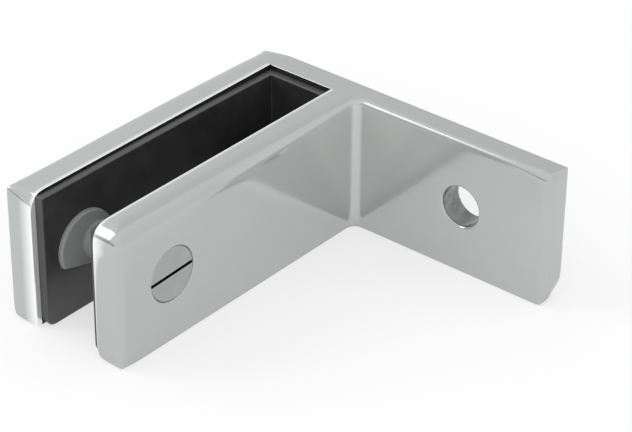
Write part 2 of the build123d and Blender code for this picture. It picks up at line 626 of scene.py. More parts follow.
class SharedEffects:
    """Node groups for effects that more than one finish uses, each built once."""

    def __init__(self) -> None:
        """Build every group."""
        self.cast_waves = self.make_cast_waves()
        self.grain = self.make_grain()
        self.edge_wear = self.make_edge_wear()
        self.dust = self.make_dust()
        # Masks for painted shade and painted light.
        self.zones = {
            Zone.BORE_SHADE: self.make_bore_shade_mask(),
            Zone.MOUTH_HIGHLIGHT: self.make_mouth_highlight_mask(),
            Zone.CHANNEL_SHADE: self.make_channel_shade_mask(),
            Zone.SLOT_SHADE: self.make_slot_shade_mask(),
            Zone.NOOK_LIGHT: self.make_nook_light_mask(),
        }

    @staticmethod
    def make_cast_waves() -> bpy.types.NodeTree:
        """Slow unevenness of a polished casting, as a height from 0 to 1.

        Returns:
            The group.
        """
        tree, maker, start, end = new_group("cast_waves", [("Scale", WAVES), ("Strength", 1.0)], ["Height"])
        value = maker.noise(start.outputs["Scale"], PLAIN)
        maker.join(maker.math("MULTIPLY", value, start.outputs["Strength"]), end.inputs["Height"])
        return tree

    @staticmethod
    def make_grain() -> bpy.types.NodeTree:
        """Fine grain of a worked or moulded surface, as a height and a mask.

        Returns:
            The group.
        """
        sockets = [("Scale", GRAINS), ("Contrast", 1.0)]
        tree, maker, start, end = new_group("grain", sockets, ["Height", "Mask"])
        value = maker.noise(start.outputs["Scale"], FINE)
        centred = maker.math("SUBTRACT", value, 0.5)
        scaled = maker.math("MULTIPLY", centred, start.outputs["Contrast"])
        lifted = maker.math("ADD", scaled, 0.5)
        maker.join(lifted, end.inputs["Height"])
        maker.join(lifted, end.inputs["Mask"])
        return tree

    @staticmethod
    def make_edge_wear() -> bpy.types.NodeTree:
        """Where edges stand out and hands polish them, as a mask.

        Returns:
            The group.
        """
        sockets = [("Amount", 1.0), ("Break up", SCRATCHES)]
        tree, maker, start, end = new_group("edge_wear", sockets, ["Mask"])
        pointed = maker.node("ShaderNodeNewGeometry").outputs["Pointiness"]
        ranged = maker.node("ShaderNodeMapRange")
        ranged.inputs["From Min"].default_value = WORN_EDGES[0]
        ranged.inputs["From Max"].default_value = WORN_EDGES[1]
        maker.join(pointed, ranged.inputs["Value"])
        broken = maker.noise(start.outputs["Break up"], MIXED)
        worn = maker.math("MULTIPLY", ranged.outputs["Result"], broken)
        maker.join(maker.math("MULTIPLY", worn, start.outputs["Amount"]), end.inputs["Mask"])
        return tree

    @staticmethod
    def make_dust() -> bpy.types.NodeTree:
        """Light dust that gathers on what faces up, as a mask.

        Returns:
            The group.
        """
        sockets = [("Amount", LIGHT_DUST), ("Scale", SPECKS)]
        tree, maker, start, end = new_group("dust", sockets, ["Mask"])
        normal = maker.parts(maker.node("ShaderNodeNewGeometry").outputs["Normal"])
        upward = maker.math("MAXIMUM", normal.outputs["Z"], 0.0)
        cloudy = maker.noise(start.outputs["Scale"], FINEST)
        settled = maker.math("MULTIPLY", upward, cloudy)
        maker.join(maker.math("MULTIPLY", settled, start.outputs["Amount"]), end.inputs["Mask"])
        return tree

    @staticmethod
    def make_bore_shade_mask() -> bpy.types.NodeTree:
        """Painted shade inside a bore that runs along Y through the origin, as a mask.

        Returns:
            The group.
        """
        sockets = [("Radius", 0.0), ("Depth", 0.0), ("Break up", BLOTCHES)]
        tree, maker, start, end = new_group(Zone.BORE_SHADE.value, sockets, ["Mask"])
        parts = maker.parts(maker.place())
        across = maker.math("MULTIPLY", parts.outputs["X"], parts.outputs["X"])
        along = maker.math("MULTIPLY", parts.outputs["Z"], parts.outputs["Z"])
        reach = maker.math("SQRT", maker.math("ADD", across, along))
        inside = maker.math("LESS_THAN", reach, start.outputs["Radius"])
        front = maker.math("MULTIPLY", start.outputs["Depth"], -1.0)
        behind = maker.math("GREATER_THAN", parts.outputs["Y"], front)
        broken = maker.noise(start.outputs["Break up"], FINE)
        least, spread = BORE_BLOTCHES
        blotched = maker.math("ADD", maker.math("MULTIPLY", broken, spread), least)
        found = maker.math("MULTIPLY", maker.math("MULTIPLY", inside, behind), blotched)
        maker.join(maker.math("MINIMUM", found, 1.0), end.inputs["Mask"])
        return tree

    @staticmethod
    def make_mouth_highlight_mask() -> bpy.types.NodeTree:
        """Bands of painted highlight beside two walls square to X, wide on the free ends and narrow along
        the top.

        The band at the high wall narrows between the heights Taper top and Taper low.

        Returns:
            The group.
        """
        sockets = [("Low wall", 0.0), ("High wall", 0.0), ("High squeeze", 1.0), ("End", 0.0)]
        sockets += [("End width", MM), ("Top width", MM), ("Back wall", 0.0)]
        sockets += [("Taper top", MM), ("Taper low", 0.0), ("Taper squeeze", 1.0)]
        tree, maker, start, end = new_group(Zone.MOUTH_HIGHLIGHT.value, sockets, ["Mask"])
        parts = maker.parts(maker.place())
        along = parts.outputs["X"]
        low = maker.math("ABSOLUTE", maker.math("SUBTRACT", along, start.outputs["Low wall"]))
        high = maker.math("ABSOLUTE", maker.math("SUBTRACT", along, start.outputs["High wall"]))
        ranged = maker.node("ShaderNodeMapRange")
        maker.join(parts.outputs["Z"], ranged.inputs["Value"])
        maker.join(start.outputs["Taper top"], ranged.inputs["From Min"])
        maker.join(start.outputs["Taper low"], ranged.inputs["From Max"])
        maker.join(start.outputs["High squeeze"], ranged.inputs["To Min"])
        maker.join(start.outputs["Taper squeeze"], ranged.inputs["To Max"])
        nearest = maker.math("MINIMUM", low, maker.math("MULTIPLY", high, ranged.outputs["Result"]))
        at_end = maker.math("LESS_THAN", parts.outputs["Y"], start.outputs["End"])
        extra = maker.math("SUBTRACT", start.outputs["End width"], start.outputs["Top width"])
        width = maker.math("ADD", start.outputs["Top width"], maker.math("MULTIPLY", at_end, extra))
        share = maker.math("SUBTRACT", 1.0, maker.math("DIVIDE", nearest, width))
        beside = maker.math("LESS_THAN", parts.outputs["Y"], start.outputs["Back wall"])
        maker.join(maker.math("MULTIPLY", maker.math("MAXIMUM", share, 0.0), beside), end.inputs["Mask"])
        return tree

    @staticmethod
    def make_channel_shade_mask() -> bpy.types.NodeTree:
        """Painted shade on the walls of a channel square to X that is open towards low Y, as a mask.

        Returns:
            The group.
        """
        sockets = [("Middle", 0.0), ("Half width", MM), ("Front", 0.0), ("Back wall", 0.0)]
        tree, maker, start, end = new_group(Zone.CHANNEL_SHADE.value, sockets, ["Mask"])
        parts = maker.parts(maker.place())
        across = maker.math("ABSOLUTE", maker.math("SUBTRACT", parts.outputs["X"], start.outputs["Middle"]))
        inside = maker.math("LESS_THAN", across, start.outputs["Half width"])
        before = maker.math("LESS_THAN", parts.outputs["Y"], start.outputs["Back wall"])
        behind = maker.math("GREATER_THAN", parts.outputs["Y"], start.outputs["Front"])
        between = maker.math("MULTIPLY", before, behind)
        maker.join(maker.math("MULTIPLY", inside, between), end.inputs["Mask"])
        return tree

    @staticmethod
    def make_slot_shade_mask() -> bpy.types.NodeTree:
        """Painted shade inside a driver slot that runs nearly along Y in a face square to X, as a mask.

        Returns:
            The group.
        """
        sockets = [("Face", 0.0), ("Centre", 0.0), ("Half width", MM), ("Slope", 0.0)]
        tree, maker, start, end = new_group(Zone.SLOT_SHADE.value, sockets, ["Mask"])
        parts = maker.parts(maker.place())
        below = maker.math("LESS_THAN", parts.outputs["X"], start.outputs["Face"])
        along = maker.math("SUBTRACT", parts.outputs["Y"], start.outputs["Centre"])
        line = maker.math("MULTIPLY", along, start.outputs["Slope"])
        across = maker.math("ABSOLUTE", maker.math("SUBTRACT", parts.outputs["Z"], line))
        beside = maker.math("LESS_THAN", across, start.outputs["Half width"])
        maker.join(maker.math("MULTIPLY", below, beside), end.inputs["Mask"])
        return tree

    @staticmethod
    def make_nook_light_mask() -> bpy.types.NodeTree:
        """Painted light on the upper part of two upright walls near the hollow corner where they meet, as a
        mask.

        It reaches from the top down to Depth at the corner, and less far by the slopes away
        from it, with an edge as soft as Blur.

        Returns:
            The group.
        """
        sockets = [("Corner X", 0.0), ("Corner Y", 0.0), ("Top", 0.0), ("Skin", MM)]
        sockets += [("Depth", MM), ("Slope X", 1.0), ("Slope Y", 1.0), ("Blur", MM)]
        tree, maker, start, end = new_group(Zone.NOOK_LIGHT.value, sockets, ["Mask"])
        place = maker.parts(maker.place())
        normal = maker.parts(maker.node("ShaderNodeNewGeometry").outputs["Normal"])
        found = maker.math("SUBTRACT", 1.0, maker.math("ABSOLUTE", normal.outputs["Z"]))
        behind = maker.math("MULTIPLY", start.outputs["Skin"], -1.0)
        left = maker.math("SUBTRACT", start.outputs["Depth"], start.outputs["Top"])
        left = maker.math("ADD", left, place.outputs["Z"])
        ways = (
            ("X", maker.math("SUBTRACT", place.outputs["X"], start.outputs["Corner X"])),
            ("Y", maker.math("SUBTRACT", start.outputs["Corner Y"], place.outputs["Y"])),
        )
        for axis, distance in ways:
            found = maker.math("MULTIPLY", found, maker.math("GREATER_THAN", distance, behind))
            away = maker.math("MAXIMUM", distance, 0.0)
            lost = maker.math("MULTIPLY", away, start.outputs[f"Slope {axis}"])
            left = maker.math("SUBTRACT", left, lost)
        faded = maker.node("ShaderNodeMapRange", interpolation_type="SMOOTHSTEP")
        maker.join(left, faded.inputs["Value"])
        maker.join(maker.math("MULTIPLY", start.outputs["Blur"], -1.0), faded.inputs["From Min"])
        maker.join(start.outputs["Blur"], faded.inputs["From Max"])
        maker.join(maker.math("MULTIPLY", found, faded.outputs["Result"]), end.inputs["Mask"])
        return tree


@dataclass(frozen=True)
class Mark:
    """A place where the finish has another colour.

    Attributes:
        zone: the zone of the piece.
        values: settings of the mask that finds it.
        colour: colour of the mark, linear.
    """

    zone: Zone
    values: tuple[tuple[str, float], ...]
    colour: tuple[float, float, float]


@dataclass(frozen=True)
class Finish:
    """A surface finish, from which a procedural material is made.

    Attributes:
        name: the material's name.
        colour: main colour, linear.
        shade: colour of its darker clouds, linear.
        metallic: 1 for metal, 0 for rubber and plastic.
        roughness: roughness of the clean surface.
        roughness_spread: how far grain and wear change the roughness.
        cloud_scale: size of the colour clouds, as noise per metre.
        wave_scale: size of the slow waves, as noise per metre.
        wave_height: height of the slow waves in metres.
        grain_scale: size of the grain, as noise per metre.
        grain_height: height of the grain in metres.
        wear: how much worn edges show.
        dust: how much dust lies on upward faces.
        dust_colour: colour of the dust, linear.
        specular: specular level of rubber and plastic.
    """

    name: str
    colour: tuple[float, float, float]
    shade: tuple[float, float, float]
    metallic: float
    roughness: float
    roughness_spread: float
    cloud_scale: float
    wave_scale: float
    wave_height: float
    grain_scale: float
    grain_height: float
    wear: float
    dust: float
    dust_colour: tuple[float, float, float]
    specular: float = 0.5

    def material(self, effects: SharedEffects, marks: Sequence[Mark] = ()) -> bpy.types.Material:
        """Make the material.

        Args:
            effects: the shared node groups.
            marks: places with another colour.

        Returns:
            The new material.
        """
        made = bpy.data.materials.new(self.name)
        made.use_nodes = True
        made.node_tree.nodes.clear()
        maker = GroupMaker(made.node_tree)
        out = maker.node("ShaderNodeOutputMaterial")
        shader = maker.node("ShaderNodeBsdfPrincipled")
        maker.join(shader.outputs["BSDF"], out.inputs["Surface"])
        shader.inputs["Metallic"].default_value = self.metallic
        shader.inputs["Specular IOR Level"].default_value = self.specular
        grain = self.use(maker, effects.grain, {"Scale": self.grain_scale})
        waves = self.use(maker, effects.cast_waves, {"Scale": self.wave_scale})
        wear = self.use(maker, effects.edge_wear, {"Amount": self.wear})
        dust = self.use(maker, effects.dust, {"Amount": self.dust})
        colour = self.dusted_colour(maker, dust)
        # Lay each mark's painted shade or painted light over the base colour.
        for mark in marks:
            mask = self.use(maker, effects.zones[mark.zone], dict(mark.values))
            marked = maker.node("ShaderNodeMix", data_type="RGBA")
            marked.inputs["B"].default_value = (*mark.colour, 1.0)
            maker.join(colour, marked.inputs["A"])
            maker.join(mask.outputs["Mask"], marked.inputs["Factor"])
            colour = marked.outputs["Result"]
        maker.join(colour, shader.inputs["Base Color"])
        self.link_roughness(maker, shader, grain, wear, dust)
        self.link_relief(maker, shader, grain, waves)
        return made

    @staticmethod
    def use(maker: GroupMaker, group: bpy.types.NodeTree, values: dict[str, float]) -> bpy.types.Node:
        """Place a shared group in the material and set its inputs.

        Args:
            maker: helper of the material's tree.
            group: the shared group.
            values: input names and values.

        Returns:
            The new group node.
        """
        made = maker.node("ShaderNodeGroup", node_tree=group)
        for key, value in values.items():
            made.inputs[key].default_value = value
        return made

    def dusted_colour(self, maker: GroupMaker, dust: bpy.types.Node) -> bpy.types.NodeSocket:
        """Cloud the main colour and lay the dust over it.

        Args:
            maker: helper of the material's tree.
            dust: the dust group's node.

        Returns:
            The dusted colour.
        """
        clouds = maker.noise(self.cloud_scale, FINE)
        tinted = maker.node("ShaderNodeMix", data_type="RGBA")
        tinted.inputs["A"].default_value = (*self.shade, 1.0)
        tinted.inputs["B"].default_value = (*self.colour, 1.0)
        spread = maker.node("ShaderNodeMapRange")
        spread.inputs["From Min"].default_value = CLOUD_RANGE[0]
        spread.inputs["From Max"].default_value = CLOUD_RANGE[1]
        maker.join(clouds, spread.inputs["Value"])
        maker.join(spread.outputs["Result"], tinted.inputs["Factor"])
        dusted = maker.node("ShaderNodeMix", data_type="RGBA")
        dusted.inputs["B"].default_value = (*self.dust_colour, 1.0)
        maker.join(tinted.outputs["Result"], dusted.inputs["A"])
        maker.join(dust.outputs["Mask"], dusted.inputs["Factor"])
        return dusted.outputs["Result"]

    def link_roughness(
        self,
        maker: GroupMaker,
        shader: bpy.types.Node,
        grain: bpy.types.Node,
        wear: bpy.types.Node,
        dust: bpy.types.Node,
    ) -> None:
        """Vary the roughness with grain, wear and dust.

        Args:
            maker: helper of the material's tree.
            shader: the shader to feed.
            grain: the grain group's node.
            wear: the wear group's node.
            dust: the dust group's node.
        """
        spread = self.roughness_spread
        varied = maker.math("MULTIPLY", grain.outputs["Mask"], spread)
        based = maker.math("ADD", varied, self.roughness - spread / 2)
        polished = maker.math("SUBTRACT", based, maker.math("MULTIPLY", wear.outputs["Mask"], spread))
        dulled = maker.math("ADD", polished, maker.math("MULTIPLY", dust.outputs["Mask"], spread))
        maker.join(maker.math("MAXIMUM", dulled, LEAST_ROUGHNESS), shader.inputs["Roughness"])

    def link_relief(
        self,
        maker: GroupMaker,
        shader: bpy.types.Node,
        grain: bpy.types.Node,
        waves: bpy.types.Node,
    ) -> None:
        """Turn waves and grain into a bump of real height.

        Args:
            maker: helper of the material's tree.
            shader: the shader to feed.
            grain: the grain group's node.
            waves: the wave group's node.
        """
        slow = maker.node("ShaderNodeBump")
        slow.inputs["Distance"].default_value = self.wave_height
        maker.join(waves.outputs["Height"], slow.inputs["Height"])
        fine = maker.node("ShaderNodeBump")
        fine.inputs["Distance"].default_value = self.grain_height
        maker.join(grain.outputs["Height"], fine.inputs["Height"])
        maker.join(slow.outputs["Normal"], fine.inputs["Normal"])
        maker.join(fine.outputs["Normal"], shader.inputs["Normal"])


PLATING = Finish(
    name="satin_chrome_plating",
    colour=(0.468, 0.485, 0.477),
    shade=(0.458, 0.475, 0.467),
    metallic=0.64,
    roughness=0.11,
    roughness_spread=0.03,
    cloud_scale=90.0,
    wave_scale=70.0,
    wave_height=0.00002,
    grain_scale=6000.0,
    grain_height=0.0000003,
    wear=0.6,
    dust=0.02,
    dust_colour=(0.5, 0.5, 0.5),
)

SCREW_METAL = Finish(
    name="turned_chrome",
    colour=(0.405, 0.42, 0.415),
    shade=(0.38, 0.395, 0.39),
    metallic=1.0,
    roughness=0.2,
    roughness_spread=0.05,
    cloud_scale=300.0,
    wave_scale=200.0,
    wave_height=0.000004,
    grain_scale=5000.0,
    grain_height=0.0000006,
    wear=0.5,
    dust=0.02,
    dust_colour=(0.4, 0.4, 0.4),
)

RUBBER = Finish(
    name="liner_black_rubber",
    colour=(0.030, 0.030, 0.030),
    shade=(0.020, 0.020, 0.020),
    metallic=0.0,
    roughness=0.33,
    roughness_spread=0.10,
    cloud_scale=250.0,
    wave_scale=180.0,
    wave_height=0.00004,
    grain_scale=3500.0,
    grain_height=0.000008,
    wear=0.4,
    dust=0.12,
    dust_colour=(0.25, 0.25, 0.25),
    specular=0.7,
)

NYLON = Finish(
    name="bush_grey_nylon",
    colour=(0.25, 0.263, 0.255),
    shade=(0.23, 0.243, 0.235),
    metallic=0.0,
    roughness=0.5,
    roughness_spread=0.1,
    cloud_scale=350.0,
    wave_scale=300.0,
    wave_height=0.00001,
    grain_scale=3000.0,
    grain_height=0.000004,
    wear=0.3,
    dust=0.05,
    dust_colour=(0.35, 0.35, 0.35),
)


# The plated casting

@dataclass(frozen=True)
class CastingSize:
    """Radii and holes of the casting in millimetres.

    Attributes:
        crisp: distance of the support lines that keep an edge crisp.
        edge_lines: distances of the grid lines from a softly rounded edge.
        tip_lines: further ones behind the flange tip.
        end_line: a further one behind the free ends.
        low_lines: heights of the lines above the underside.
        wall_line: distance of the first line inside a leg from the channel.
        near_line: distance of the second one in the near leg.
        root_shares: shares of the hollow corner's radius at which lines stand.
        root_line: distance of the next line from the hollow corner.
        middle_y: place of the line across the middle of the legs.
        far_side: radius of the far leg's outer top edge.
        heel_side: radius that this edge grows to at the heel.
        heel_reach: distance from the heel over which it grows.
        heel_fade: distances from the heel between which the back edge loses it.
        near_side: radius of the near leg's outer top edge.
        root_side: radius that this edge shrinks to at the flange.
        flange_side: radius of the flange's front top edge.
        end_edge: radius of the top edges at the free ends.
        far_end_edge: radius of that edge at the outside of the far leg.
        end_reach: distance from a free end over which the radius grows.
        tip_share: how much of that growth the flange tip has.
        far_corner: radius of the far leg's outer upright corner.
        near_corner: radius of the near leg's outer upright corner.
        low_corner: radius of that corner at the underside.
        corner_rise: height over which it grows to its full radius.
        tip_corner: radius of the front upright corner of the flange tip.
        heel: radius of the heel in plan.
        root: radius of the hollow corner between near leg and flange.
        root_depth: how far into the metal the hollow corner's shape fades out.
        low_edge: radius of the underside's edge at the free ends.
        end_side_low: radius of the low side corners of the leg ends.
        low_clear: distance from the hollow corner within which low corners stay sharp.
        tip_low_front: low corner radius of the flange tip at the front.
        tip_low_back: low corner radius of the flange tip at the back.
        hole_square: half width of the cells round a hole.
        head_clearance: gap round the screw's head.
        head_lip: width of the counterbore's broken edge.
        counterbore_depth: depth of the counterbore.
        shank_hole: radius of the screw hole in the near leg.
        thread_hole: radius of the threaded hole in the far leg.
        thread_depth: depth of the threaded hole.
        wall_hole: radius of the wall-screw hole.
        wall_hole_rim: width of its broken edge.
        mouth_end_reach: depth of the free ends on which the painted highlight band is wide.
        mouth_end_width: width of the painted highlight band beside the channel on the free ends.
        mouth_near_squeeze: how much narrower that band is at the near leg, high up.
        mouth_low_squeeze: how much narrower it is there lower down.
        mouth_taper: heights between which it narrows, along Z.
        mouth_top_width: width of that band along the top.
        mouth_highlight_colour: colour of the painted highlight band, linear.
        channel_reach: how far the painted shade on the channel's walls reaches into their edges.
        channel_shade_colour: colour of that painted shade, linear.
        nook_depth: how far down the hollow corner has its painted light.
        nook_slopes: how much less that is away from it, along the flange and the near leg.
        nook_blur: softness of the edge of that painted light.
        nook_skin: depth to which it reaches behind the two walls.
        nook_light_colour: colour of that painted light, brighter than the plating, linear.
        bore_reach: how far the painted shade in the wall hole's bore reaches beyond its radius.
        bore_shade_colour: colour of the bore's painted shade, linear.
    """

    crisp: float = 0.3
    edge_lines: tuple[float, ...] = (0.0, 0.35, 0.8, 1.4, 2.2, 3.2)
    tip_lines: tuple[float, ...] = (4.5, 6.5)
    end_line: float = 3.4
    low_lines: tuple[float, ...] = (1.0, 2.0, 3.2, 4.4)
    wall_line: float = 1.3
    near_line: float = 2.3
    root_shares: tuple[float, ...] = (0.25, 0.5, 0.75, 1.0)
    root_line: float = 5.0
    middle_y: float = -25.0
    far_side: float = 1.35
    heel_side: float = 2.7
    heel_reach: float = 34.0
    heel_fade: tuple[float, float] = (-3.0, 8.0)
    near_side: float = 3.2
    root_side: float = 1.2
    flange_side: float = 0.9
    end_edge: float = 3.2
    far_end_edge: float = 1.0
    end_reach: float = 8.0
    tip_share: float = 0.4
    far_corner: float = 0.6
    near_corner: float = 1.8
    low_corner: float = 0.6
    corner_rise: float = 8.0
    tip_corner: float = 1.6
    heel: float = 0.9
    root: float = 1.8
    root_depth: float = 3.0
    low_edge: float = 0.8
    end_side_low: float = 2.5
    low_clear: float = 1.0
    tip_low_front: float = 1.4
    tip_low_back: float = 4.7
    hole_square: float = 6.8
    head_clearance: float = 0.03
    head_lip: float = 0.04
    counterbore_depth: float = 2.0
    shank_hole: float = 2.75
    thread_hole: float = 2.55
    thread_depth: float = 4.0
    wall_hole: float = 3.7
    wall_hole_rim: float = 0.3
    # Painted highlight: a near-white band along the channel's edges, wide on the free ends.
    mouth_end_reach: float = 0.4
    mouth_end_width: float = 2.7
    mouth_near_squeeze: float = 1.0
    mouth_low_squeeze: float = 7.0
    mouth_taper: tuple[float, float] = (8.0, -2.0)
    mouth_top_width: float = 0.8
    mouth_highlight_colour: tuple[float, float, float] = (0.95, 0.96, 0.955)
    # Painted shade: the channel's metal walls are coloured nearly black.
    channel_reach: float = 0.04
    channel_shade_colour: tuple[float, float, float] = (0.03, 0.03, 0.03)
    # Painted light: a colour brighter than the plating round the hollow corner stands in for brighter
    # reflections there.
    nook_depth: float = 24.0
    nook_slopes: tuple[float, float] = (1.1, 0.7)
    nook_blur: float = 2.5
    nook_skin: float = 1.0
    nook_light_colour: tuple[float, float, float] = (0.555, 0.57, 0.56)
    # Painted shade in the wall hole's bore.
    bore_reach: float = 0.05
    bore_shade_colour: tuple[float, float, float] = (0.16, 0.165, 0.163)


class Casting:
    """The plated casting: two legs square to a base plate that runs on as a flange.

    Args:
        places: main places of the bracket.
        size: radii and holes.
    """

    def __init__(self, places: Places, size: CastingSize) -> None:
        """Keep the places and sizes."""
        self.places = places
        self.size = size

    def solid(self, x: float, y: float, z: float) -> bool:
        """Tell whether a place is inside the sharp-edged casting.

        Args:
            x: place along X.
            y: place along Y.
            z: place along Z.

        Returns:
            True inside it.
        """
        at = self.places
        if not at.far_outer < x < at.tip:
            return False
        if y > at.plate_front:
            return True
        return at.far_outer < x < at.far_inner or at.near_inner < x < at.near_outer

    def grid_lines(self) -> tuple[np.ndarray, np.ndarray, np.ndarray]:
        """Grid lines along X, Y and Z, close together where edges are rounded.

        Returns:
            The lines along each axis.
        """
        at, size = self.places, self.size
        soft = size.edge_lines
        hollow = [size.root * share for share in size.root_shares]
        square = (-size.hole_square, 0.0, size.hole_square)
        along_x = merged_lines(
            [at.far_outer + step for step in soft],
            [at.far_inner - size.crisp, at.far_inner, at.far_inner + size.crisp],
            [at.far_inner - size.wall_line],
            [at.near_inner + size.wall_line, at.near_inner + size.near_line],
            [at.near_inner - size.crisp, at.near_inner, at.near_inner + size.crisp],
            [at.near_outer - step for step in soft[:-1]],
            [at.near_outer + step for step in hollow],
            [at.near_outer + size.root_line],
            square,
            [at.tip - step for step in (*soft, *size.tip_lines)],
        )
        along_y = merged_lines(
            [0.0, -size.crisp, at.plate_front],
            [at.plate_front + step for step in soft[:-1]],
            [at.plate_front - size.crisp],
            [at.plate_front - step for step in hollow],
            [at.plate_front - size.root_line, size.middle_y],
            [at.screw_y + step for step in square],
            [at.leg_end + step for step in soft[:-1]],
            [at.leg_end + size.end_line],
        )
        along_z = merged_lines(
            [at.top - step for step in soft],
            square,
            [at.bottom + step for step in (0.0, size.crisp, *size.low_lines)],
        )
        return along_x, along_y, along_z

    def holes(self) -> list[RoundHole]:
        """The three holes that the casting has.

        Returns:
            The counterbored one, the threaded one and the plain one.
        """
        at, size = self.places, self.size
        edge = size.crisp
        head = at.head_radius + size.head_clearance
        floor = at.near_outer - size.counterbore_depth
        counterbored = RoundHole(
            along=Along.X,
            centre=(at.screw_y, 0.0),
            opening=at.near_outer,
            exit=at.near_inner,
            square=size.hole_square,
            rings=(
                (head + edge, at.near_outer),
                (head + size.head_lip, at.near_outer),
                (head, at.near_outer - edge),
                (head, floor + edge),
                (head, floor),
                (head - edge, floor),
                (size.shank_hole + edge, floor),
                (size.shank_hole, floor),
                (size.shank_hole, floor - edge),
                (size.shank_hole, at.near_inner + edge),
                (size.shank_hole, at.near_inner),
                (size.shank_hole + edge, at.near_inner),
            ),
        )
        deep = at.far_inner - size.thread_depth
        threaded = RoundHole(
            along=Along.X,
            centre=(at.screw_y, 0.0),
            opening=at.far_inner,
            exit=None,
            square=size.hole_square,
            rings=(
                (size.thread_hole + edge, at.far_inner),
                (size.thread_hole, at.far_inner),
                (size.thread_hole, at.far_inner - edge),
                (size.thread_hole, deep + edge),
                (size.thread_hole, deep),
                (size.thread_hole / 2, deep),
            ),
        )
        rim = size.wall_hole_rim
        plain = RoundHole(
            along=Along.Y,
            centre=(0.0, 0.0),
            opening=at.plate_front,
            exit=0.0,
            square=size.hole_square,
            rings=(
                (size.wall_hole + rim + edge, at.plate_front),
                (size.wall_hole + rim, at.plate_front),
                (size.wall_hole, at.plate_front + rim),
                (size.wall_hole, at.plate_front + rim + edge),
                (size.wall_hole, -edge),
                (size.wall_hole, 0.0),
                (size.wall_hole + edge, 0.0),
            ),
        )
        return [counterbored, threaded, plain]

    def round_low_corners(self, points: np.ndarray) -> np.ndarray:
        """Round the low corners of the free ends, as seen from the front.

        Args:
            points: points of the sharp-edged cage.

        Returns:
            The moved points.
        """
        at, size = self.places, self.size
        moved = points.copy()
        x, y, z = points.T
        low = z - at.bottom
        depth_share = np.clip((y - at.plate_front) / -at.plate_front, 0, 1)
        tip_radius = mix(size.tip_low_front, size.tip_low_back, depth_share ** 2)
        fade = 1 - smooth_step(0.0, size.end_reach, y - at.leg_end)
        side_radius = size.end_side_low * fade
        flange = x > at.near_outer + size.low_clear
        free = y < at.plate_front - size.low_clear
        near = (x > at.near_inner - TOUCH) & (x < at.near_outer + TOUCH) & free
        far = (x < at.far_inner + TOUCH) & free
        corners = (
            (at.tip, -1, tip_radius, flange),
            (at.near_inner, 1, side_radius, near),
            (at.far_outer, 1, side_radius, far),
        )
        for wall, inward, radius, active in corners:
            to_side, to_low = round_pair((x - wall) * inward, low, radius, active)
            moved[:, 0] = np.where(active, wall + inward * to_side, moved[:, 0])
            moved[:, 2] = np.where(active, at.bottom + to_low, moved[:, 2])
        return moved

    def plan_walls(self, points: np.ndarray) -> tuple[np.ndarray, np.ndarray, np.ndarray, np.ndarray]:
        """Round the upright outer corners and find each point's distance from the outer wall.

        Args:
            points: points of the cage.

        Returns:
            The moved points, the distance from the outer wall, its outward direction
            in plan, and the radius that the top edge has there.
        """
        at, size = self.places, self.size
        x, y, z = points.T
        moved = points.copy()
        count = len(points)
        distance = np.full(count, FAR)
        outward = np.zeros((count, 2))
        on_leg = y < at.plate_front + TOUCH
        on_plate = y > at.plate_front - TOUCH
        near = (x > at.near_inner - TOUCH) & (x < at.near_outer + TOUCH)
        far = x < at.far_inner + TOUCH
        walls = (
            (near & on_leg, y - at.leg_end, (0, -1)),
            (far & on_leg, y - at.leg_end, (0, -1)),
            (near & on_leg, at.near_outer - x, (1, 0)),
            (far, x - at.far_outer, (-1, 0)),
            (on_plate & (x > at.near_outer - TOUCH), y - at.plate_front, (0, -1)),
            (on_plate, at.tip - x, (1, 0)),
            (on_plate, -y, (0, 1)),
        )
        for active, reach, direction in walls:
            closer = active & (reach < distance - NOTHING)
            distance = np.where(closer, reach, distance)
            outward[closer] = direction
        full = smooth_step(0.0, size.corner_rise, z - at.bottom)
        near_corner = mix(size.low_corner, size.near_corner, full)
        corners = (
            (at.far_outer, 0.0, 1, -1, size.heel),
            (at.near_outer, at.leg_end, -1, 1, near_corner),
            (at.far_outer, at.leg_end, 1, 1, size.far_corner),
            (at.tip, at.plate_front, -1, 1, size.tip_corner),
        )
        for corner_x, corner_y, inward_x, inward_y, radius in corners:
            across = radius - (x - corner_x) * inward_x
            along = radius - (y - corner_y) * inward_y
            longest = np.maximum(across, along)
            zone = (across > 0) & (along > 0) & (longest <= radius + TOUCH)
            length = np.maximum(np.hypot(across, along), NOTHING)
            share = longest / length
            moved[:, 0] = np.where(zone, corner_x + inward_x * (radius - across * share), moved[:, 0])
            moved[:, 1] = np.where(zone, corner_y + inward_y * (radius - along * share), moved[:, 1])
            distance = np.where(zone, radius - longest, distance)
            outward[zone, 0] = (-inward_x * across / length)[zone]
            outward[zone, 1] = (-inward_y * along / length)[zone]
        self.hollow_corner(points, moved, distance, outward)
        return moved, distance, outward, self.top_radius(points)

    def hollow_corner(
        self,
        points: np.ndarray,
        moved: np.ndarray,
        distance: np.ndarray,
        outward: np.ndarray,
    ) -> None:
        """Fill the hollow corner between near leg and flange with a round one.

        Args:
            points: points of the cage.
            moved: moved points, changed in place.
            distance: distance from the outer wall, changed in place.
            outward: outward direction of that wall, changed in place.
        """
        at, size = self.places, self.size
        centre_x = at.near_outer + size.root
        centre_y = at.plate_front - size.root
        across = centre_x - points[:, 0]
        along = points[:, 1] - centre_y
        longest = np.maximum(across, along)
        depth = longest - size.root
        zone = (across > 0) & (along > 0) & (depth > -TOUCH) & (depth < size.root_depth)
        length = np.maximum(np.hypot(across, along), NOTHING)
        fade = 1 - smooth_step(size.root_depth / 2, size.root_depth, depth)
        share = 1 + (longest / length - 1) * fade
        moved[zone, 0] = (centre_x - across * share)[zone]
        moved[zone, 1] = (centre_y + along * share)[zone]
        distance[zone] = depth[zone]
        outward[zone, 0] = (across / length)[zone]
        outward[zone, 1] = (-along / length)[zone]

